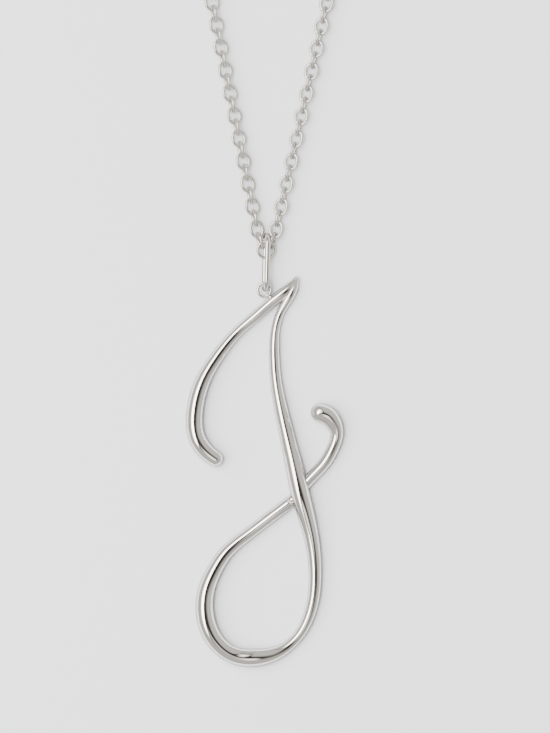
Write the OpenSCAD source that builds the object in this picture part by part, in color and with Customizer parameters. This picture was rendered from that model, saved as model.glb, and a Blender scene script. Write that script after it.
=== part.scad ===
// Initial pendant lying on a flat surface, with its neck chain laid out as one teardrop loop.
// Millimetres, +Z up. The origin lies on the surface below the middle of the whole outline,
// +Y runs from the letter to the clasp, and +X to the right of somebody who looks down on it.

/* [Letter] */
// Overall width of the letter
letter_w = 25.3; // [22:0.1:29]
// Overall height of the letter
letter_h = 62.4; // [56:0.1:70]
// Thickness of the letter's rod where it is thickest
stroke_w = 3.0; // [2.4:0.1:3.4]
// Outside diameter of the small ring that is soldered to the letter
eye_d = 2.56; // [2.5:0.02:2.8]
// Wire of that ring
eye_wire = 0.48; // [0.4:0.02:0.5]
// Height of that ring's middle above the surface
eye_z = 1.7; // [1.6:0.05:1.8]
// Thickness of the solder between that ring and the letter
solder_d = 0.6; // [0.4:0.05:0.8]
// Space between that ring and the letter, which the solder fills
solder_gap = 0.1; // [0:0.05:0.3]

/* [Bail] */
// Outside length of the bail
bail_l = 9.4; // [9.3:0.1:11]
// Outside depth of the bail, which stands on its narrow side
bail_d = 3.7; // [3.7:0.05:4]
// Wire of the bail
bail_wire = 0.88; // [0.7:0.02:0.9]
// Lean of the bail's upper strand to the right, in degrees
bail_lean = 8; // [6:1:10]
// Turn of the bail from above, clockwise, in degrees
bail_turn = 1.2; // [-2:0.2:2]
// Distance of the bail's middle to the right of the centre ring's
bail_side = -0.03; // [-0.04:0.01:0.06]
// Distance of the letter's ring to the left of the bail's wire
eye_side = 0.15; // [0:0.01:0.18]
// Distance of the letter's ring below the bail's wire
eye_drop = 0.13; // [0.1:0.01:0.15]

/* [Chain] */
// Length of the whole loop along its middle line
chain_length = 450; // [400:5:500]
// Angle between each straight side and the loop's own axis, in degrees
side_angle = 11.9; // [10:0.1:14]
// Turn of the loop about its lowest ring, clockwise from above, in degrees
loop_turn = 0.7; // [-3:0.1:3]
// Outside length of a link
link_l = 2.92; // [2.9:0.02:3.2]
// Outside width of a link
link_w = 2.38; // [2.34:0.02:2.5]
// Wire of a link
link_wire = 0.47; // [0.4:0.01:0.48]
// Roll of the chain about its own line, top towards the inside of the loop, in degrees
chain_roll = 15; // [0:1:20]
// Angle between each lowest link and the loop's own axis, in degrees
bridge_angle = 18; // [17:0.5:19]
// Distance sideways from the loop's axis to the wire where a lowest link holds the centre ring
bridge_reach = 0.68; // [0.66:0.01:0.72]

/* [Centre ring] */
// Outside diameter of the ring that joins the chain's two halves
centre_d = 3.11; // [3.09:0.01:3.14]
// Wire of that ring
centre_wire = 0.47; // [0.4:0.01:0.48]
// Tilt of that ring, its side towards the clasp up, in degrees
centre_tilt = 4.5; // [3:0.5:6]
// Height of that ring's middle above the surface
centre_z = 1.35; // [1.32:0.01:1.38]

/* [Clasp] */
// Outside diameter of the clasp
clasp_d = 7; // [5:0.5:9]
// Wire of the clasp
clasp_wire = 1.0; // [0.8:0.05:1.05]
// Outside diameter of the clasp's small eye
clasp_eye_d = 2.4; // [2.2:0.1:3]
// Wire of that eye
clasp_eye_wire = 0.5; // [0.4:0.05:0.6]

/* [Fit] */
// Clearance between two pieces that hold each other
gap = 0.11; // [0.1:0.01:0.13]
// More clearance where the centre ring crosses the ends of the lowest links at an angle
cross_gap = 0.1; // [0.08:0.01:0.12]

/* [Hidden] */
silver = "silver";
wire_fn = 16;
turn_fn = 32;
// Sides of the letter's rod, sections between two rows of a table, and sections of a rounded end
sides = 16;
steps = 3;
cap_steps = 3;

// A row for each section of a stroke of the letter: its middle as a share of letter_w from the
// left and of letter_h from the bottom, and its thickness as a share of stroke_w.
// Crescent, from the pointed tip to its blunt end
CRESCENT = [
    [0.699, 0.993, 0.30], [0.668, 0.976, 0.50], [0.595, 0.951, 0.60], [0.460, 0.905, 0.59],
    [0.328, 0.858, 0.58], [0.243, 0.819, 0.65], [0.169, 0.777, 0.72], [0.108, 0.732, 0.81],
    [0.069, 0.683, 0.87], [0.054, 0.632, 0.90], [0.077, 0.581, 0.92], [0.130, 0.551, 0.90],
    [0.187, 0.533, 0.84]
];
// Stem, from the same tip down, round the bowl and back up into the stem
STEM = [
    [0.698, 0.993, 0.30], [0.683, 0.971, 0.48], [0.620, 0.924, 0.48], [0.564, 0.853, 0.51],
    [0.560, 0.801, 0.57], [0.567, 0.750, 0.60], [0.609, 0.649, 0.74], [0.666, 0.549, 0.87],
    [0.694, 0.499, 0.96], [0.722, 0.449, 1.00], [0.786, 0.350, 0.84], [0.819, 0.249, 0.70],
    [0.794, 0.148, 0.63], [0.747, 0.100, 0.58], [0.672, 0.060, 0.57], [0.566, 0.033, 0.74],
    [0.445, 0.023, 0.95], [0.320, 0.027, 0.94], [0.213, 0.054, 0.93], [0.145, 0.097, 0.96],
    [0.119, 0.147, 0.96], [0.132, 0.198, 0.89], [0.181, 0.246, 0.81], [0.250, 0.289, 0.74],
    [0.345, 0.324, 0.66], [0.546, 0.386, 0.63], [0.646, 0.417, 0.62], [0.722, 0.443, 0.60]
];
// Tail, from inside the stem to the ball at its end
TAIL = [
    [0.722, 0.450, 0.63], [0.805, 0.489, 0.63], [0.888, 0.527, 0.65], [0.944, 0.573, 0.67],
    [0.956, 0.603, 0.74], [0.934, 0.625, 0.89], [0.899, 0.643, 0.99], [0.850, 0.651, 0.99]
];
// Row of the crescent that the small ring is soldered behind, and the share of the way to the next
eye_row = 2;
eye_share = 0.28;

function in_mm(rows) = [for (r = rows) [r[0] * letter_w, r[1] * letter_h, r[2] * stroke_w]];
function flat(p) = [p[0], p[1]];
function span(p, i) = norm(flat(p[i + 1]) - flat(p[i]));
function step_up(p, i) = (p[i + 1] - p[i]) / span(p, i);
// Slope of the smooth line at a row, from the rows on both sides of it
function slope(p, i) =
    i == 0 ? step_up(p, 0) :
    i == len(p) - 1 ? step_up(p, i - 1) :
    (span(p, i) * step_up(p, i - 1) + span(p, i - 1) * step_up(p, i))
        / (span(p, i - 1) + span(p, i));
// The smooth line between row i and the next, u from 0 to 1
function between(p, i, u) =
    (2 * u ^ 3 - 3 * u ^ 2 + 1) * p[i] + (3 * u ^ 2 - 2 * u ^ 3) * p[i + 1]
    + (u ^ 3 - 2 * u ^ 2 + u) * span(p, i) * slope(p, i)
    + (u ^ 3 - u ^ 2) * span(p, i) * slope(p, i + 1);
function smooth(p) = concat(
    [for (i = [0 : len(p) - 2], k = [0 : steps - 1]) between(p, i, k / steps)],
    [p[len(p) - 1]]);
function unit(v) = v / norm(v);
function heading(line, i) =
    unit(flat(line[min(i + 1, len(line) - 1)]) - flat(line[max(i - 1, 0)]));
// Points round the rod at a height of half its thickness, so that every section rests
function section(at, dir, r, z) = [
    for (k = [0 : sides - 1]) let (a = (k + 0.5) * 360 / sides)
        [at[0] - dir[1] * r * cos(a), at[1] + dir[0] * r * cos(a), z + r * sin(a)]
];
function end_sections(line, i, way) = [
    for (k = [1 : cap_steps]) let (a = 90 * k / (cap_steps + 0.5), r = line[i][2] / 2)
        section(flat(line[i]) + heading(line, i) * way * r * sin(a), heading(line, i),
            r * cos(a), r)
];
function reversed(list) = [for (i = [len(list) - 1 : -1 : 0]) list[i]];
function sections(line) = concat(
    reversed(end_sections(line, 0, -1)),
    [for (i = [0 : len(line) - 1])
        section(flat(line[i]), heading(line, i), line[i][2] / 2, line[i][2] / 2)],
    end_sections(line, len(line) - 1, 1));

// Links: half length and half width along the middle of the wire
link_a = (link_l - link_wire) / 2;
link_b = (link_w - link_wire) / 2;
// Height of the chain's middle: the links that stand on edge touch the surface
chain_z = link_b * cos(chain_roll) + link_wire / 2;

// Loop: an arc of loop_r closed by two straight sides that meet at the apex
loop_r = chain_length / 2 / (1 / tan(side_angle) + (90 + side_angle) * PI / 180);
straight = loop_r / tan(side_angle);
arc_y = loop_r / sin(side_angle);

// Clasp: how far its two wires that hold a link lie from its own middle, and the links' places
eye_out = clasp_d / 2 + clasp_eye_d / 2 - clasp_eye_wire;
left_hold = eye_out + (clasp_eye_d - clasp_eye_wire) / 2
    + link_l / 2 - link_wire - clasp_eye_wire / 2 - gap;
right_hold = (clasp_d - clasp_wire) / 2 + link_l / 2 - link_wire - clasp_wire / 2 - gap;
clasp_reach = (left_hold + right_hold) / 2;
clasp_shift = (left_hold - right_hold) / 2;
clasp_roll = asin((chain_z - clasp_wire / 2) / ((clasp_d - clasp_wire) / 2));
clasp_y = arc_y + sqrt(loop_r ^ 2 - clasp_reach ^ 2);

// Pitch: as many links as fill a side from the lowest one to the clasp, an even number on each
longest_pitch = link_l - 2 * link_wire - gap;
guess_s = (bridge_reach + sin(side_angle) * longest_pitch / 2
    + sin(bridge_angle) * (longest_pitch / 2 + link_a)) / sin(side_angle);
last_s = chain_length / 2 - loop_r * asin(clasp_reach / loop_r) * PI / 180;
links = 2 * ceil(((last_s - guess_s) / longest_pitch + 1) / 2);
bridge_out = bridge_reach + sin(bridge_angle) * link_a;
first_share = (sin(side_angle) + sin(bridge_angle)) / 2 / sin(side_angle);
pitch = (last_s - bridge_out / sin(side_angle)) / (links - 1 + first_share);
first_s = bridge_out / sin(side_angle) + first_share * pitch;

// Lowest link of the left side, in the loop's own coordinates
side_dir = [-sin(side_angle), cos(side_angle)];
bridge_dir = [-sin(bridge_angle), cos(bridge_angle)];
bridge = side_dir * (first_s - pitch / 2) - bridge_dir * pitch / 2;

// Centre ring: its wire passes just inside the lowest links' inner ends
centre_r = (centre_d - centre_wire) / 2;
centre_off = (link_wire + centre_wire) / 2 + gap + cross_gap;
hold = bridge - bridge_dir * (link_a - centre_off);
centre_y = hold[1] - sqrt(centre_r ^ 2 - hold[0] ^ 2) * cos(centre_tilt);

// Bail, in coordinates whose origin is the middle of the centre ring: it stands on the surface,
// and its upper end clears the centre ring's upper side, which lies inside it
bail_r = (bail_d - bail_wire) / 2;
bail_half = (bail_l - bail_d) / 2;
bail_z = bail_r * cos(bail_lean) + bail_wire / 2;
ring_top = [centre_r * cos(centre_tilt), centre_z + centre_r * sin(centre_tilt)];
top_reach = bail_r - (bail_wire + centre_wire) / 2 - gap;
top_rise = (ring_top[1] - bail_z) / cos(bail_lean);
bail_y = ring_top[0] - sqrt(top_reach ^ 2 - top_rise ^ 2) - bail_half;
bail_at = [bail_side, bail_y];

// Letter: its ring hangs on the bail's lower end, and the ring places the letter
crescent = smooth(in_mm(CRESCENT));
stem = smooth(in_mm(STEM));
tail = smooth(in_mm(TAIL));
eye = bail_at + (bail_half + bail_r) * [-sin(bail_turn), -cos(bail_turn)]
    + [(eye_z - bail_z) * tan(bail_lean) - eye_side, -eye_drop];
rows = in_mm(CRESCENT);
seat = between(rows, eye_row, eye_share);
seat_dir = flat(rows[eye_row + 1] - rows[eye_row]) / span(rows, eye_row);
seat_out = [seat_dir[1], -seat_dir[0]];
letter_at = eye - seat_out * (seat[2] / 2 + solder_gap + eye_d / 2) - flat(seat);
solder_out = eye - seat_out * (eye_d - eye_wire) / 2;
solder_in = eye - seat_out * (eye_d / 2 + solder_gap + solder_d / 2);
solder_z = seat[2] / 2;

// The whole outline, which places the origin
function turned(p) = [
    p[0] * cos(loop_turn) + p[1] * sin(loop_turn),
    p[1] * cos(loop_turn) - p[0] * sin(loop_turn)
];
middle_x = turned([0, arc_y - centre_y])[0];
low_y = letter_at[1] + min([for (p = stem) p[1] - p[2] / 2]);
high_y = turned([clasp_shift, clasp_y - centre_y])[1]
    + (clasp_d - clasp_wire) / 2 * cos(clasp_roll) + clasp_wire / 2;
shift = [-middle_x, -(low_y + high_y) / 2];

module wire_arc(r, wire, from, to) {
    rotate([0, 0, from])
        rotate_extrude(angle = to - from, $fn = turn_fn)
            translate([r, 0]) circle(d = wire, $fn = wire_fn);
}

module wire_ring(d, wire) {
    rotate_extrude($fn = turn_fn)
        translate([(d - wire) / 2, 0]) circle(d = wire, $fn = wire_fn);
}

// One link, flat in the plane of X and Y with its length along X
module link() {
    for (end = [0, 180]) rotate([0, 0, end]) {
        translate([link_a - link_b, 0]) wire_arc(link_b, link_wire, -90, 90);
        translate([0, link_b, 0]) rotate([0, 90, 0])
            cylinder(d = link_wire, h = 2 * (link_a - link_b), center = true, $fn = wire_fn);
    }
}

// Puts a child at a length along the loop's left side, its X along the loop, clockwise
module on_loop(s) {
    past = max(0, s - straight) / loop_r * 180 / PI;
    angle = 180 + side_angle - past;
    place = s < straight ? side_dir * s : [0, arc_y] + loop_r * [cos(angle), sin(angle)];
    translate([place[0], place[1], chain_z]) rotate([0, 0, angle - 90]) children();
}

module half_chain() {
    translate([bridge[0], bridge[1], chain_z])
        rotate([0, 0, 90 + bridge_angle]) rotate([90 + chain_roll, 0, 0]) link();
    for (i = [0 : links - 1])
        on_loop(first_s + i * pitch) rotate([chain_roll + (i % 2) * 90, 0, 0]) link();
}

// Puts a child from the loop's own coordinates into the part's
module in_part() {
    translate([shift[0], shift[1], 0]) rotate([0, 0, -loop_turn]) translate([0, -centre_y, 0])
        children();
}

// A rod of round sections, each piece between two of them convex
module rod(line) {
    all = sections(line);
    for (i = [0 : len(all) - 2]) hull()
        polyhedron(concat(all[i], all[i + 1]),
            [[for (k = [0 : sides - 1]) k], [for (k = [0 : sides - 1]) sides + k]]);
}

module letter() {
    color(silver) translate([shift[0], shift[1], 0]) {
        translate([letter_at[0], letter_at[1], 0]) {
            rod(crescent);
            rod(stem);
            rod(tail);
        }
        translate([eye[0], eye[1], eye_z]) wire_ring(eye_d, eye_wire);
        hull() {
            translate([solder_out[0], solder_out[1], eye_z]) sphere(d = solder_d, $fn = wire_fn);
            translate([solder_in[0], solder_in[1], solder_z]) sphere(d = solder_d, $fn = wire_fn);
        }
    }
}

module bail() {
    color(silver) translate([shift[0] + bail_at[0], shift[1] + bail_at[1], bail_z])
        rotate([0, 0, -bail_turn]) rotate([0, bail_lean, 0]) {
            for (end = [0, 180]) rotate([end, 0, 0]) {
                translate([0, bail_half, 0]) rotate([0, 90, 0])
                    wire_arc(bail_r, bail_wire, 0, 180);
                translate([0, 0, bail_r]) rotate([90, 0, 0])
                    cylinder(d = bail_wire, h = 2 * bail_half, center = true, $fn = wire_fn);
            }
        }
}

module centre_ring() {
    color(silver) in_part() translate([0, centre_y, centre_z]) rotate([centre_tilt, 0, 0])
        wire_ring(centre_d, centre_wire);
}

module chain_left() {
    color(silver) in_part() half_chain();
}

module chain_right() {
    color(silver) in_part() mirror([1, 0, 0]) half_chain();
}

module clasp() {
    color(silver) in_part() translate([clasp_shift, clasp_y, chain_z])
        rotate([clasp_roll, 0, 0]) {
            wire_ring(clasp_d, clasp_wire);
            translate([-eye_out, 0, 0]) wire_ring(clasp_eye_d, clasp_eye_wire);
        }
}

letter();
bail();
centre_ring();
chain_left();
chain_right();
clasp();
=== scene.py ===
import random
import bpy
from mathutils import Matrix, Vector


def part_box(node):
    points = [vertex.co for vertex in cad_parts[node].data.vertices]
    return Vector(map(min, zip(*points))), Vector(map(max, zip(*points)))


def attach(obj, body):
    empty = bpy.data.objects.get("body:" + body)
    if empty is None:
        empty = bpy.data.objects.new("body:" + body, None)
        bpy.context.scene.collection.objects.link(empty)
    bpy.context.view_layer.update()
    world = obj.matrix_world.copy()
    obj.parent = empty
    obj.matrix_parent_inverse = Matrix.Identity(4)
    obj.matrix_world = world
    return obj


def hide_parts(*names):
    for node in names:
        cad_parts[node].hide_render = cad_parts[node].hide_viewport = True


bl_info = {
    "name": "Initial pendant",
    "version": (1, 0, 0),
    "blender": (4, 5, 0),
    "location": "3D View > Sidebar > Pendant",
    "description": "Builds a script initial pendant on its neck chain, lying on a pale surface",
    "category": "Add Mesh",
}

from math import asin, ceil, cos, pi, radians, sin, sqrt, tan

import bpy
import numpy as np
from mathutils import Matrix, Vector

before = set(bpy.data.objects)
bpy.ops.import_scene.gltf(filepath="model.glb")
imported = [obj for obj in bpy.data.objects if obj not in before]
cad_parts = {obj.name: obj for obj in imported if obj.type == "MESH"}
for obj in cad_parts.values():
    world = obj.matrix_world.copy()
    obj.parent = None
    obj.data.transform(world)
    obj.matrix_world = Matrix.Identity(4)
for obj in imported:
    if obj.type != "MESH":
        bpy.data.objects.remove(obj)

MM = 0.001

# The photo: the width of its pixels on the surface, its height in pixels, and its middle in pixels
# from the lower left corner of the letter's outline
PIXEL = 0.16 * MM
PHOTO_HEIGHT = 733
PHOTO_MIDDLE = (89.3, 300.4)
# Height of the camera, and of the middle of the letter's rod, on which the scale holds
EYE_HEIGHT = 0.9
SCALE_HEIGHT = 1.5 * MM
SENSOR = 36.0
FLOOR_HALF = 0.9

# A row for each section of a stroke of the letter: its middle as a share of the letter's width
# from the left and of its height from the bottom, and its thickness as a share of the thickest.
# Crescent, from the pointed tip to its blunt end
CRESCENT = [
    (0.699, 0.993, 0.30), (0.668, 0.976, 0.50), (0.595, 0.951, 0.60), (0.460, 0.905, 0.59),
    (0.328, 0.858, 0.58), (0.243, 0.819, 0.65), (0.169, 0.777, 0.72), (0.108, 0.732, 0.81),
    (0.069, 0.683, 0.87), (0.054, 0.632, 0.90), (0.077, 0.581, 0.92), (0.130, 0.551, 0.90),
    (0.187, 0.533, 0.84),
]
# Stem, from the same tip down, round the bowl and back up into the stem
STEM = [
    (0.698, 0.993, 0.30), (0.683, 0.971, 0.48), (0.620, 0.924, 0.48), (0.564, 0.853, 0.51),
    (0.560, 0.801, 0.57), (0.567, 0.750, 0.60), (0.609, 0.649, 0.74), (0.666, 0.549, 0.87),
    (0.694, 0.499, 0.96), (0.722, 0.449, 1.00), (0.786, 0.350, 0.84), (0.819, 0.249, 0.70),
    (0.794, 0.148, 0.63), (0.747, 0.100, 0.58), (0.672, 0.060, 0.57), (0.566, 0.033, 0.74),
    (0.445, 0.023, 0.95), (0.320, 0.027, 0.94), (0.213, 0.054, 0.93), (0.145, 0.097, 0.96),
    (0.119, 0.147, 0.96), (0.132, 0.198, 0.89), (0.181, 0.246, 0.81), (0.250, 0.289, 0.74),
    (0.345, 0.324, 0.66), (0.546, 0.386, 0.63), (0.646, 0.417, 0.62), (0.722, 0.443, 0.60),
]
# Tail, from inside the stem to the ball at its end
TAIL = [
    (0.722, 0.450, 0.63), (0.805, 0.489, 0.63), (0.888, 0.527, 0.65), (0.944, 0.573, 0.67),
    (0.956, 0.603, 0.74), (0.934, 0.625, 0.89), (0.899, 0.643, 0.99), (0.850, 0.651, 0.99),
]
# The two ends of the bead of solder where the bowl's return meets the stem, with their heights as
# shares of the thickest stroke, and its radius as such a share
BEAD = [(0.655, 0.423, 0.56), (0.668, 0.420, 0.58)]
BEAD_RADIUS = 0.13
# Row of the crescent that the small ring is soldered behind, and the share of the way to the next
SEAT_ROW = 2
SEAT_SHARE = 0.28
# Lamps: place from the point below the camera, and side, in metres
KEY_PLACE, KEY_SIDE = (-0.3, 0.0, 0.45), 0.9
SPOT_PLACE, SPOT_SIDE = (-0.12, 0.02, 0.58), 0.08
FILL_PLACE, FILL_SIDE = (0.5, 0.0, 0.35), 0.35
# How much fuller than an ellipse a link is, how much thinner a drop of solder is at its waist, and
# how far the links' rolls stray from the chain's, in degrees
LINK_FULL = 0.035
SOLDER_WAIST = 0.12
LINK_PLAY = 1.0
LINK_SEED = 7
# Step in metres for which smooth_line's stiffness is given
STIFF_STEP = 0.3 * MM


def length(name, default, description):
    return bpy.props.FloatProperty(
        name=name, default=default * MM, description=description, unit="LENGTH",
        precision=5, min=0.0)


def angle(name, default, description):
    return bpy.props.FloatProperty(
        name=name, default=radians(default), description=description, subtype="ANGLE")


def colour(name, default, description):
    return bpy.props.FloatVectorProperty(
        name=name, default=default, description=description, subtype="COLOR", size=3,
        min=0.0, max=1.0)


class PENDANT_PG_letter(bpy.types.PropertyGroup):
    width: length("Width", 25.3, "Overall width of the letter")
    height: length("Height", 62.4, "Overall height of the letter")
    stroke: length("Stroke", 3.0, "Thickness of the rod where it is thickest")
    eye_d: length("Ring", 2.56, "Outside diameter of the small soldered ring")
    eye_wire: length("Ring wire", 0.48, "Wire of the small soldered ring")
    eye_z: length("Ring height", 1.7, "Height of that ring's middle above the surface")
    eye_side: length("Ring side", 0.15, "Distance of the ring to the left of the bail's wire")
    eye_drop: length("Ring drop", 0.13, "Distance of the ring below the bail's wire")
    solder_d: length("Solder", 0.6, "Thickness of the solder between the ring and the letter")
    solder_gap: length("Solder gap", 0.1, "Space that the solder fills")
    sides: bpy.props.IntProperty(
        name="Sides", default=56, min=8, description="Sides of the rod's sections")
    step: length("Step", 0.3, "Distance between two sections of the rod")


class PENDANT_PG_chain(bpy.types.PropertyGroup):
    length: length("Length", 450.0, "Length of the whole loop along its middle line")
    side_angle: angle("Side", 11.9, "Angle between a straight side and the loop's axis")
    turn: angle("Turn", 0.7, "Turn of the loop about its lowest ring, clockwise")
    link_l: length("Link length", 2.92, "Outside length of a link")
    link_w: length("Link width", 2.38, "Outside width of a link")
    wire: length("Wire", 0.47, "Wire of a link")
    roll: angle("Roll", 15.0, "Roll of the chain about its own line, top to the inside")
    bridge_angle: angle("Lowest links", 18.0, "Angle of each lowest link to the loop's axis")
    bridge_reach: length("Reach", 0.68, "Distance sideways to where a lowest link holds the ring")
    centre_d: length("Centre ring", 3.11, "Outside diameter of the ring at the lowest point")
    centre_tilt: angle("Ring tilt", 4.5, "Tilt of that ring, its side towards the clasp up")
    clasp_d: length("Clasp", 7.0, "Outside diameter of the clasp")
    clasp_wire: length("Clasp wire", 1.0, "Wire of the clasp")
    clasp_eye_d: length("Clasp eye", 2.4, "Outside diameter of the clasp's eye")
    clasp_eye_wire: length("Clasp eye wire", 0.5, "Wire of the clasp's eye")
    gap: length("Clearance", 0.11, "Clearance between two pieces that hold each other")
    cross_gap: length("Ring clearance", 0.1, "More clearance at the ends of the lowest links")


class PENDANT_PG_bail(bpy.types.PropertyGroup):
    length: length("Length", 9.4, "Outside length of the bail")
    depth: length("Depth", 3.7, "Outside depth of the bail, which stands on its narrow side")
    wire: length("Wire", 0.88, "Wire of the bail")
    lean: angle("Lean", 8.0, "Lean of the upper strand to the right")
    turn: angle("Turn", 1.2, "Turn of the bail from above, clockwise")


class PENDANT_PG_looks(bpy.types.PropertyGroup):
    silver: colour("Silver", (0.85, 0.84, 0.82), "Colour of the clean metal")
    silver_warm: colour("Warm silver", (0.82, 0.803, 0.772), "Colour where the metal is warmer")
    # The two wire colours are a darker, warmer copy of the silver: painted shade that makes the
    # thin wire of the chain, the centre ring, the bail and the clasp read darker
    wire: colour("Shaded wire silver", (0.74, 0.722, 0.685), "Silver darkened by painted shade, for the chain's and the bail's wire")
    shaded_wire_warm: colour("Warm shaded wire", (0.69, 0.665, 0.62), "Colour where that wire is warmer")
    floor: colour("Floor", (0.36, 0.36, 0.362), "Colour of the surface")
    tent: colour("Tent", (1.0, 0.965, 0.895), "Colour of the light tent")
    sky: bpy.props.FloatProperty(
        name="Tent wall", default=0.72, min=0.0, description="Brightness of the light tent")
    lamp: bpy.props.FloatProperty(
        name="Tent lamp", default=12.0, min=0.0, description="Brightness of its lit panel")
    lens: bpy.props.FloatProperty(
        name="Tent opening", default=0.045, min=0.0, description="Brightness round the lens")
    edge: bpy.props.FloatProperty(
        name="Panel edge", default=0.07, description="Place of the lit panel's edge")
    key: bpy.props.FloatProperty(
        name="Key", default=10.9, min=0.0, description="Brightness of the softbox up on the left")
    spot: bpy.props.FloatProperty(
        name="Spot", default=239.0, min=0.0, description="Brightness of the small lamp above")
    key_colour: colour("Key colour", (0.955, 0.975, 1.0), "Colour of that softbox")
    fill: bpy.props.FloatProperty(
        name="Fill", default=1.0, min=0.0, description="Brightness of the softbox on the right")
    fill_colour: colour("Fill colour", (1.0, 0.86, 0.72), "Colour of that softbox")


class Value:
    """A socket that can be used in sums with numbers and other sockets"""

    def __init__(self, tree, socket):
        self.tree = tree
        self.socket = socket

    def calc(self, operation, first, second):
        node = self.tree.node("ShaderNodeMath", {"operation": operation}, {0: first, 1: second})
        return Value(self.tree, node.outputs[0])

    def power(self, exponent):
        return self.calc("POWER", self, exponent)

    def __add__(self, other):
        return self.calc("ADD", self, other)

    def __sub__(self, other):
        return self.calc("SUBTRACT", self, other)

    def __mul__(self, other):
        return self.calc("MULTIPLY", self, other)

    def __rsub__(self, other):
        return self.calc("SUBTRACT", other, self)

    __radd__ = __add__
    __rmul__ = __mul__


class Tree:
    """The node tree of a material or of the world"""

    def __init__(self, data):
        self.data = data
        self.data.use_nodes = True
        self.nodes = self.data.node_tree.nodes
        self.links = self.data.node_tree.links

    def node(self, kind, settings=None, inputs=None):
        made = self.nodes.new(kind)
        for key, value in (settings or {}).items():
            setattr(made, key, value)
        for key, value in (inputs or {}).items():
            self.put(made.inputs[key], value)
        return made

    def put(self, socket, value):
        if isinstance(value, Value):
            self.links.new(value.socket, socket)
        else:
            socket.default_value = value

    def ramp(self, value, start, end):
        """0 up to start, 1 from end on, and smooth in between"""
        made = self.node("ShaderNodeMapRange", {"interpolation_type": "SMOOTHSTEP"},
                         {0: value, 1: start, 2: end})
        return Value(self, made.outputs[0])

    def reach(self, x, y):
        """Distance of the point x, y from the origin"""
        return (x * x + y * y).power(0.5)

    def band(self, value, start, end, soft):
        """1 between start and end, 0 outside, with soft edges"""
        return self.ramp(value, start - soft / 2, start + soft / 2) * (
            1.0 - self.ramp(value, end - soft / 2, end + soft / 2))


class Material(Tree):
    """One material's node tree, with the surface shader ready in it"""

    def __init__(self, name):
        super().__init__(bpy.data.materials.new(name))
        self.surface = next(n for n in self.nodes if n.type == "BSDF_PRINCIPLED")
        coordinates = self.node("ShaderNodeTexCoord")
        self.place = Value(self, coordinates.outputs["Object"])

    def set(self, **inputs):
        for key, value in inputs.items():
            self.put(self.surface.inputs[key.replace("_", " ")], value)

    def noise(self, scale, detail=2.0, roughness=0.5, stretch=None):
        place = self.place
        if stretch:
            moved = self.node("ShaderNodeMapping", {}, {"Vector": place, "Scale": stretch})
            place = Value(self, moved.outputs[0])
        made = self.node(
            "ShaderNodeTexNoise", {"noise_dimensions": "3D"},
            {"Vector": place, "Scale": scale, "Detail": detail, "Roughness": roughness})
        return Value(self, made.outputs["Fac"])

    def mix(self, factor, first, second):
        made = self.node(
            "ShaderNodeMix", {"data_type": "RGBA"},
            {0: factor, 6: (*first, 1.0), 7: (*second, 1.0)})
        return Value(self, made.outputs[2])

    def bump(self, height, strength, distance):
        made = self.node(
            "ShaderNodeBump", {}, {"Strength": strength, "Distance": distance, "Height": height})
        return Value(self, made.outputs[0])


def silver(name, clean, warm):
    """Mirror-polished silver: a slow change of tone, fine polishing haze and faint waves, with its
    grazing edges darkened by painted shade
    """
    found = bpy.data.materials.get(name)
    if found:
        return found
    m = Material(name)
    tone = m.noise(scale=90.0, detail=3.0)
    haze = m.noise(scale=1400.0, detail=4.0, roughness=0.6)
    marks = m.noise(scale=2200.0, detail=3.0, roughness=0.7, stretch=(1.0, 0.06, 1.0))
    waves = m.noise(scale=420.0, detail=2.0)
    # The near-black specular tint darkens the metal's grazing edges: painted shade standing in for
    # the shaded surface that the edges reflect
    m.set(Base_Color=m.mix(tone, clean, warm), Metallic=1.0,
          Specular_Tint=(0.1, 0.1, 0.1, 1.0),
          Roughness=0.02 + haze * 0.05 + marks * 0.03)
    m.set(Normal=m.bump(waves + marks * 0.1, strength=1.0, distance=0.0025 * MM))
    return m.data


def pale_floor(looks):
    """Matt pale board with a very faint grain"""
    m = Material("pale board")
    grain = m.noise(scale=900.0, detail=4.0)
    tone = m.noise(scale=14.0, detail=2.0)
    m.set(Base_Color=m.mix(tone, looks.floor, [c * 0.985 for c in looks.floor]),
          Roughness=0.62 + grain * 0.1, Normal=m.bump(grain, strength=0.1, distance=0.01 * MM))
    return m.data


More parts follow.
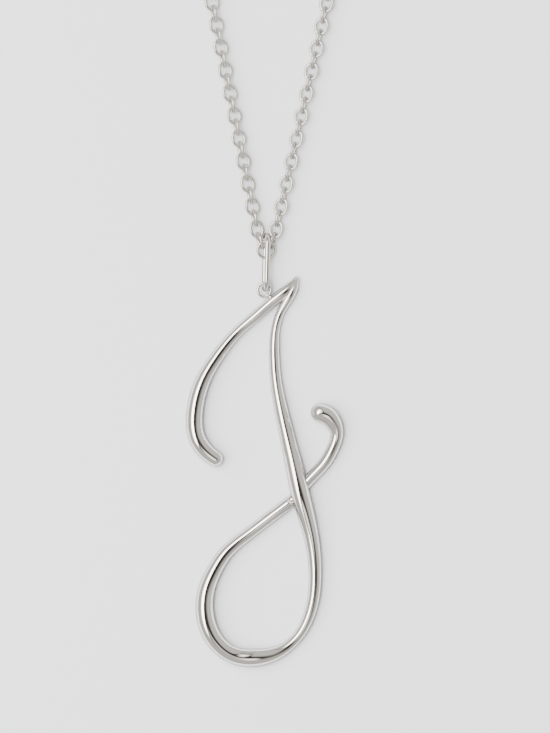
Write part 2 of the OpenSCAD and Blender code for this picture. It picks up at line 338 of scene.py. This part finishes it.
def tent(looks):
    """A soft light tent: a lit panel on the left, dim round the lens and its arm, a narrow slot"""
    world = bpy.data.worlds.new("tent")
    t = Tree(world)
    background = next(n for n in t.nodes if n.type == "BACKGROUND")
    coordinates = t.node("ShaderNodeTexCoord")
    parts = t.node("ShaderNodeSeparateXYZ", {}, {0: Value(t, coordinates.outputs["Generated"])})
    # X and Y of the direction's unit vector, so that 0, 0 is straight up
    x, y = Value(t, parts.outputs["X"]), Value(t, parts.outputs["Y"])
    # The wall, a little brighter on the right and towards the clasp
    sky = t.ramp(x + y, start=0.1, end=0.9) * (looks.sky * 0.2) + looks.sky
    # Dark parts, each 0 in its middle: round the lens, a holder beside it, and the holder's arm
    dark = t.ramp(t.reach((x - 0.22) * 0.75, y + x * 0.35 - 0.01), start=0.1, end=0.52)
    dark = dark * t.ramp(t.reach(x + 0.22, y + 0.14), start=0.06, end=0.36)
    arm = t.band(x, start=-0.13, end=0.06, soft=0.06) * t.band(y, start=0.0, end=0.86, soft=0.1)
    dark = dark * (1.0 - arm)
    brightness = dark * (sky - looks.lens) + looks.lens
    # The lit panel, which fades to the wall's brightness away from its lamp
    fade = t.ramp(t.reach(x, y), start=0.42, end=0.74)
    lit = (1.0 - fade) * (looks.lamp - looks.sky) + looks.sky
    panel = t.ramp(y * 0.25 - x, start=looks.edge, end=looks.edge + 0.22)
    panel = panel * t.ramp(y - x * 1.28, start=0.16, end=0.26)
    panel = panel * t.ramp(y, start=-0.45, end=-0.25)
    brightness = brightness + panel * (lit - brightness)
    # The slot below the lens
    slot = t.band(x, start=-0.14, end=0.24, soft=0.28)
    slot = slot * t.band(y, start=-0.5, end=-0.16, soft=0.14)
    brightness = brightness + slot * (looks.lamp * 0.2 - brightness)
    t.put(background.inputs["Color"], (*looks.tent, 1.0))
    t.put(background.inputs["Strength"], brightness)
    return world


def smooth_line(rows, step, stiffness=12.0):
    """Points a step apart on the smoothest line that runs by the rows"""
    rows = np.array(rows)
    along = np.concatenate(
        [[0.0], np.cumsum(np.linalg.norm(np.diff(rows[:, :2], axis=0), axis=1))])
    count = max(16, int(along[-1] / step))
    share = along / along[-1] * (count - 1)
    fit = np.zeros((len(rows), count))
    for row, at in enumerate(share):
        low = min(int(at), count - 2)
        fit[row, low] = 1.0 - (at - low)
        fit[row, low + 1] = at - low
    bend = np.diff(np.eye(count), n=3, axis=0)
    weight = stiffness * (STIFF_STEP / step) ** 5
    return np.linalg.solve(fit.T @ fit + weight * bend.T @ bend, fit.T @ rows)


class Shape:
    """Vertices and faces of one piece, gathered tube by tube"""

    def __init__(self):
        self.points = []
        self.faces = []

    def tube(self, rings, closed=False):
        """Joins rings of points, and closes the ends with a fan unless the tube is a loop"""
        start = len(self.points)
        sides = len(rings[0])
        for ring in rings:
            self.points.extend(tuple(p) for p in ring)
        count = len(rings)
        for i in range(count if closed else count - 1):
            a = start + i * sides
            b = start + (i + 1) % count * sides
            for k in range(sides):
                n = (k + 1) % sides
                self.faces.append((a + k, a + n, b + n, b + k))
        if not closed:
            for ring, flip in ((0, True), (count - 1, False)):
                first = start + ring * sides
                self.points.append(tuple(np.mean(rings[ring], axis=0)))
                pole = len(self.points) - 1
                for k in range(sides):
                    n = (k + 1) % sides
                    self.faces.append(
                        (first + n, first + k, pole) if flip else (first + k, first + n, pole))

    def loop(self, path, wire, place, sides):
        """A closed wire along a flat path, put in place by a matrix"""
        path = np.array(path)
        ahead = np.roll(path, -1, axis=0) - np.roll(path, 1, axis=0)
        ahead /= np.linalg.norm(ahead, axis=1)[:, None]
        turn = np.arange(sides) * 2 * pi / sides
        out = np.stack([ahead[:, 1], -ahead[:, 0]], axis=1)
        rings = np.zeros((len(path), sides, 3))
        rings[:, :, :2] = path[:, None, :] + out[:, None, :] * (
            wire / 2 * np.cos(turn))[None, :, None]
        rings[:, :, 2] = wire / 2 * np.sin(turn)
        matrix = np.array(place)
        rings = rings @ matrix[:3, :3].T + matrix[:3, 3]
        self.tube(rings[:, ::-1], closed=True)

    def rod(self, line, sides, cap_steps=10):
        """A rod of round sections that all rest on the surface, with rounded ends"""
        ahead = np.gradient(line[:, :2], axis=0)
        ahead /= np.linalg.norm(ahead, axis=1)[:, None]
        turn = (np.arange(sides) + 0.5) * 2 * pi / sides

        def section(at, way, radius, height):
            side = np.array([-way[1], way[0]])
            flat = at[None, :] + side[None, :] * (radius * np.cos(turn))[:, None]
            return np.column_stack([flat, height + radius * np.sin(turn)])

        rings = [section(p[:2], w, p[2] / 2, p[2] / 2) for p, w in zip(line, ahead)]
        for end, way in ((0, -1.0), (-1, 1.0)):
            radius = line[end][2] / 2
            cap = []
            for k in range(1, cap_steps + 1):
                a = pi / 2 * k / (cap_steps + 0.3)
                at = line[end][:2] + ahead[end] * way * radius * sin(a)
                cap.append(section(at, ahead[end], radius * cos(a), radius))
            rings = cap[::-1] + rings if end == 0 else rings + cap
        self.tube(rings)

    def blob(self, first, second, radius, sides=28, cap_steps=8, steps=8):
        """A drop of solder from one point to another, a little thinner at its waist"""
        first, second = Vector(first), Vector(second)
        way = second - first
        reach = way.length
        place = way.to_track_quat("Z", "Y").to_matrix().to_4x4()
        place.translation = first
        caps = [pi / 2 * k / cap_steps for k in range(cap_steps + 1)]
        profile = [(-radius * cos(a), radius * sin(a)) for a in caps[1:]]
        profile += [(reach * k / steps, radius * (1 - SOLDER_WAIST * sin(pi * k / steps)))
                    for k in range(1, steps)]
        profile += [(reach + radius * sin(a), radius * cos(a)) for a in caps[:-1]]
        self.tube([[place @ Vector((u, v, along)) for u, v in circle(wide, sides)]
                   for along, wide in profile])

    def piece(self, name, node, material):
        """The finished object, which stands for a node of the part"""
        mesh = bpy.data.meshes.new(name)
        mesh.from_pydata(self.points, [], self.faces)
        mesh.polygons.foreach_set("use_smooth", [True] * len(mesh.polygons))
        mesh.materials.append(material)
        mesh.update()
        made = bpy.data.objects.new(name, mesh)
        bpy.context.scene.collection.objects.link(made)
        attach(made, "root")
        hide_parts(node)
        return made


def circle(radius, count):
    return [(radius * cos(2 * pi * k / count), radius * sin(2 * pi * k / count))
            for k in range(count)]


def oval(half_length, half_width, count):
    """Middle line of a link, longest along X, a little fuller than an ellipse"""
    path = []
    for k in range(count):
        a = 2 * pi * k / count
        full = 1.0 + LINK_FULL * sin(2 * a) ** 2
        path.append((half_length * cos(a) * full, half_width * sin(a) * full))
    return path


def stadium(half_straight, radius, count):
    """Middle line of the bail: two half circles joined by straight sides, along X"""
    path = []
    for side in (1, -1):
        for k in range(count + 1):
            a = -pi / 2 + pi * k / count
            path.append((side * (half_straight + radius * cos(a)), side * radius * sin(a)))
        for k in range(1, count):
            share = 1 - 2 * k / count
            path.append((side * half_straight * share, side * radius))
    return path


def moved(x, y, z):
    return Matrix.Translation(Vector((x, y, z)))


def turned(by, axis):
    return Matrix.Rotation(by, 4, axis)


def middle(node):
    low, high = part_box(node)
    return [(a + b) / 2 for a, b in zip(low, high)]


class Loop:
    """Places along the neck chain, worked out as the part's source does"""

    def __init__(self, c):
        self.c = c
        a = c.side_angle
        self.link_a = (c.link_l - c.wire) / 2
        self.link_b = (c.link_w - c.wire) / 2
        self.z = self.link_b * cos(c.roll) + c.wire / 2
        self.radius = c.length / 2 / (1 / tan(a) + pi / 2 + a)
        self.straight = self.radius / tan(a)
        self.arc_y = self.radius / sin(a)
        self.eye_out = c.clasp_d / 2 + c.clasp_eye_d / 2 - c.clasp_eye_wire
        hold = c.link_l / 2 - c.wire - c.gap
        left = self.eye_out + (c.clasp_eye_d - c.clasp_eye_wire) / 2 + hold - c.clasp_eye_wire / 2
        right = (c.clasp_d - c.clasp_wire) / 2 + hold - c.clasp_wire / 2
        reach = (left + right) / 2
        self.clasp_x = (left - right) / 2
        self.clasp_y = self.arc_y + sqrt(self.radius ** 2 - reach ** 2)
        self.clasp_roll = asin((self.z - c.clasp_wire / 2) / ((c.clasp_d - c.clasp_wire) / 2))
        longest = c.link_l - 2 * c.wire - c.gap
        b = c.bridge_angle
        guess = (c.bridge_reach + sin(a) * longest / 2
                 + sin(b) * (longest / 2 + self.link_a)) / sin(a)
        last = c.length / 2 - self.radius * asin(reach / self.radius)
        self.links = 2 * ceil(((last - guess) / longest + 1) / 2)
        out = c.bridge_reach + sin(b) * self.link_a
        share = (sin(a) + sin(b)) / 2 / sin(a)
        self.pitch = (last - out / sin(a)) / (self.links - 1 + share)
        self.first = out / sin(a) + share * self.pitch
        side = Vector((-sin(a), cos(a)))
        down = Vector((-sin(b), cos(b)))
        # The lowest link's middle
        self.bridge = side * (self.first - self.pitch / 2) - down * self.pitch / 2
        ring_r = (c.centre_d - c.wire) / 2
        hold = self.bridge - down * (self.link_a - c.wire - c.gap - c.cross_gap)
        self.ring_y = hold.y - sqrt(ring_r ** 2 - hold.x ** 2) * cos(c.centre_tilt)
        ring = middle("centre_ring")
        self.frame = moved(ring[0], ring[1], 0) @ turned(-c.turn, "Z") @ moved(0, -self.ring_y, 0)
        self.ring_z = ring[2]

    def on_loop(self, s):
        """Place at a length along the left side, X along the loop, clockwise"""
        past = max(0.0, s - self.straight) / self.radius
        a = pi + self.c.side_angle - past
        if s < self.straight:
            x, y = -sin(self.c.side_angle) * s, cos(self.c.side_angle) * s
        else:
            x, y = self.radius * cos(a), self.arc_y + self.radius * sin(a)
        return moved(x, y, self.z) @ turned(a - pi / 2, "Z")


class Pieces(bpy.types.Operator):
    """Base of the operators that build one piece each, of the chain's wire or of cast silver"""
    bl_idname = "pendant.pieces"
    bl_label = "Pieces"
    of_wire = True

    def execute(self, context):
        looks = context.scene.pendant_looks
        if self.of_wire:
            # Wire pieces take the darker copy of the silver, which is painted shade
            material = silver("polished wire with painted shade", looks.wire, looks.shaded_wire_warm)
        else:
            material = silver("polished silver", looks.silver, looks.silver_warm)
        self.build(context.scene, material)
        return {"FINISHED"}

    def build(self, scene, material):
        raise NotImplementedError


class PENDANT_OT_letter(Pieces):
    """Build the script letter with its soldered ring"""
    bl_idname = "pendant.letter"
    bl_label = "Letter"
    of_wire = False

    def build(self, scene, material):
        p, bail = scene.pendant_letter, scene.pendant_bail
        scale = np.array([p.width, p.height, p.stroke])
        lines = [smooth_line(np.array(rows) * scale, p.step) for rows in (CRESCENT, STEM, TAIL)]
        low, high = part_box("letter")
        left = min((line[:, 0] - line[:, 2] / 2).min() for line in lines)
        bottom = min((line[:, 1] - line[:, 2] / 2).min() for line in lines)
        at = np.array([low[0] - left, low[1] - bottom, 0.0])
        shape = Shape()
        for line in lines:
            shape.rod(line + at, p.sides)
        centre = middle("bail")
        reach = (bail.length - bail.wire) / 2
        aside = (p.eye_z - centre[2]) * tan(bail.lean) - p.eye_side
        eye = Vector((centre[0] - sin(bail.turn) * reach + aside,
                      centre[1] - cos(bail.turn) * reach - p.eye_drop))
        shape.loop(circle((p.eye_d - p.eye_wire) / 2, 80), p.eye_wire,
                   moved(eye.x, eye.y, p.eye_z), 24)
        first, second = (np.array(CRESCENT[SEAT_ROW + k]) * scale for k in (0, 1))
        way = Vector((second - first)[:2]).normalized()
        out = Vector((way.y, -way.x))
        rod_r = (first[2] + (second[2] - first[2]) * SEAT_SHARE) / 2
        top = eye - out * (p.eye_d - p.eye_wire) / 2
        foot = eye - out * (p.eye_d / 2 + p.solder_gap + p.solder_d / 2)
        shape.blob((top.x, top.y, p.eye_z), (foot.x, foot.y, rod_r), p.solder_d / 2)
        shape.blob(*(np.array(end) * scale + at for end in BEAD), BEAD_RADIUS * p.stroke)
        shape.piece("letter_polished", "letter", material)


class PENDANT_OT_bail(Pieces):
    """Build the long oval bail"""
    bl_idname = "pendant.bail"
    bl_label = "Bail"

    def build(self, scene, material):
        p = scene.pendant_bail
        place = (moved(*middle("bail")) @ turned(-p.turn, "Z") @ turned(p.lean, "Y")
                 @ turned(pi / 2, "Z") @ turned(pi / 2, "X"))
        shape = Shape()
        path = stadium((p.length - p.depth) / 2, (p.depth - p.wire) / 2, 40)
        shape.loop(path, p.wire, place, 40)
        shape.piece("bail_polished", "bail", material)


class PENDANT_OT_centre_ring(Pieces):
    """Build the ring at the lowest point of the chain"""
    bl_idname = "pendant.centre_ring"
    bl_label = "Centre ring"

    def build(self, scene, material):
        p = scene.pendant_chain
        loop = Loop(p)
        place = loop.frame @ moved(0, loop.ring_y, loop.ring_z) @ turned(p.centre_tilt, "X")
        shape = Shape()
        shape.loop(circle((p.centre_d - p.wire) / 2, 96), p.wire, place, 24)
        shape.piece("centre_ring_polished", "centre_ring", material)


class PENDANT_OT_chain(Pieces):
    """Build both sides of the cable chain"""
    bl_idname = "pendant.chain"
    bl_label = "Chain"

    def build(self, scene, material):
        p = scene.pendant_chain
        loop = Loop(p)
        path = oval(loop.link_a, loop.link_b, 44)
        play = random.Random(LINK_SEED)
        for name, mirror in (("chain_left", 1), ("chain_right", -1)):
            shape = Shape()
            flip = Matrix.Diagonal((mirror, 1, 1, 1))
            bridge = (moved(loop.bridge.x, loop.bridge.y, loop.z)
                      @ turned(pi / 2 + p.bridge_angle, "Z") @ turned(pi / 2 + p.roll, "X"))
            places = [bridge]
            for i in range(loop.links):
                roll = p.roll + i % 2 * pi / 2 + radians(play.uniform(-LINK_PLAY, LINK_PLAY))
                places.append(loop.on_loop(loop.first + i * loop.pitch) @ turned(roll, "X"))
            for place in places:
                shape.loop(path, p.wire, loop.frame @ flip @ place, 16)
            if mirror < 0:
                shape.faces = [face[::-1] for face in shape.faces]
            shape.piece(name + "_polished", name, material)


class PENDANT_OT_clasp(Pieces):
    """Build the plain clasp at the far end of the loop"""
    bl_idname = "pendant.clasp"
    bl_label = "Clasp"

    def build(self, scene, material):
        p = scene.pendant_chain
        loop = Loop(p)
        place = (loop.frame @ moved(loop.clasp_x, loop.clasp_y, loop.z)
                 @ turned(loop.clasp_roll, "X"))
        shape = Shape()
        shape.loop(circle((p.clasp_d - p.clasp_wire) / 2, 96), p.clasp_wire, place, 24)
        shape.loop(circle((p.clasp_eye_d - p.clasp_eye_wire) / 2, 64), p.clasp_eye_wire,
                   place @ moved(-loop.eye_out, 0, 0), 20)
        shape.piece("clasp_polished", "clasp", material)


def board(name, corners, material):
    """A flat panel of the stage"""
    mesh = bpy.data.meshes.new(name)
    mesh.from_pydata(corners, [], [(0, 1, 2, 3)])
    mesh.materials.append(material)
    made = bpy.data.objects.new(name, mesh)
    bpy.context.scene.collection.objects.link(made)
    return made


def softbox(name, eye, place, side, strength, rgb):
    """A soft square lamp above the pendant, which lights the surface and isn't reflected"""
    lamp = bpy.data.lights.new("softbox_" + name, "AREA")
    lamp.size = side
    lamp.energy = strength * side * side * pi
    lamp.color = rgb
    box = bpy.data.objects.new("softbox_" + name, lamp)
    box.location = Vector((eye.x, eye.y, 0)) + Vector(place)
    box.rotation_euler = (-Vector(place)).to_track_quat("-Z", "Y").to_euler()
    box.visible_glossy = False
    bpy.context.scene.collection.objects.link(box)


class PENDANT_OT_stage(bpy.types.Operator):
    """Build the surface, the light tent and the camera"""
    bl_idname = "pendant.stage"
    bl_label = "Stage"

    def execute(self, context):
        scene = context.scene
        looks = scene.pendant_looks
        half = FLOOR_HALF
        board("floor", [(-half, -half, 0), (half, -half, 0), (half, half, 0), (-half, half, 0)],
              pale_floor(looks))
        scene.world = tent(looks)
        low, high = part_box("letter")
        eye = Vector((low[0] + PHOTO_MIDDLE[0] * PIXEL, low[1] + PHOTO_MIDDLE[1] * PIXEL,
                      EYE_HEIGHT))
        softbox("key", eye, KEY_PLACE, KEY_SIDE, looks.key, looks.key_colour)
        softbox("spot", eye, SPOT_PLACE, SPOT_SIDE, looks.spot, looks.key_colour)
        softbox("fill", eye, FILL_PLACE, FILL_SIDE, looks.fill, looks.fill_colour)
        camera = bpy.data.objects.new("camera", bpy.data.cameras.new("camera"))
        camera.location = eye
        camera.data.sensor_width = SENSOR
        camera.data.lens = SENSOR * (EYE_HEIGHT - SCALE_HEIGHT) / (PHOTO_HEIGHT * PIXEL)
        camera.data.clip_start = 0.01
        scene.collection.objects.link(camera)
        scene.camera = camera
        return {"FINISHED"}


class PENDANT_PT_panel(bpy.types.Panel):
    """Sizes and looks of the pendant, with a button for each piece"""
    bl_idname = "PENDANT_PT_panel"
    bl_label = "Initial pendant"
    bl_space_type = "VIEW_3D"
    bl_region_type = "UI"
    bl_category = "Pendant"

    def draw(self, context):
        layout = self.layout
        for group in GROUPS:
            box = layout.box()
            settings = getattr(context.scene, group)
            for key in settings.bl_rna.properties.keys():
                if key not in ("rna_type", "name"):
                    box.prop(settings, key)
        for operator in OPERATORS:
            layout.operator(operator.bl_idname)


GROUPS = {
    "pendant_letter": PENDANT_PG_letter,
    "pendant_chain": PENDANT_PG_chain,
    "pendant_bail": PENDANT_PG_bail,
    "pendant_looks": PENDANT_PG_looks,
}
OPERATORS = (
    PENDANT_OT_letter, PENDANT_OT_bail, PENDANT_OT_centre_ring, PENDANT_OT_chain,
    PENDANT_OT_clasp, PENDANT_OT_stage,
)


def register():
    for group in GROUPS.values():
        bpy.utils.register_class(group)
    for name, group in GROUPS.items():
        setattr(bpy.types.Scene, name, bpy.props.PointerProperty(type=group))
    for operator in OPERATORS:
        bpy.utils.register_class(operator)
    bpy.utils.register_class(PENDANT_PT_panel)


def unregister():
    bpy.utils.unregister_class(PENDANT_PT_panel)
    for operator in reversed(OPERATORS):
        bpy.utils.unregister_class(operator)
    for name, group in reversed(GROUPS.items()):
        delattr(bpy.types.Scene, name)
        bpy.utils.unregister_class(group)


def corners(bounds):
    return [[float(v) for v in corner] for corner in bounds]


def main():
    register()
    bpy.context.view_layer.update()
    bpy.ops.pendant.letter()
    bpy.ops.pendant.bail()
    bpy.ops.pendant.centre_ring()
    bpy.ops.pendant.chain()
    bpy.ops.pendant.clasp()
    bpy.ops.pendant.stage()


if __name__ == "__main__":
    main()
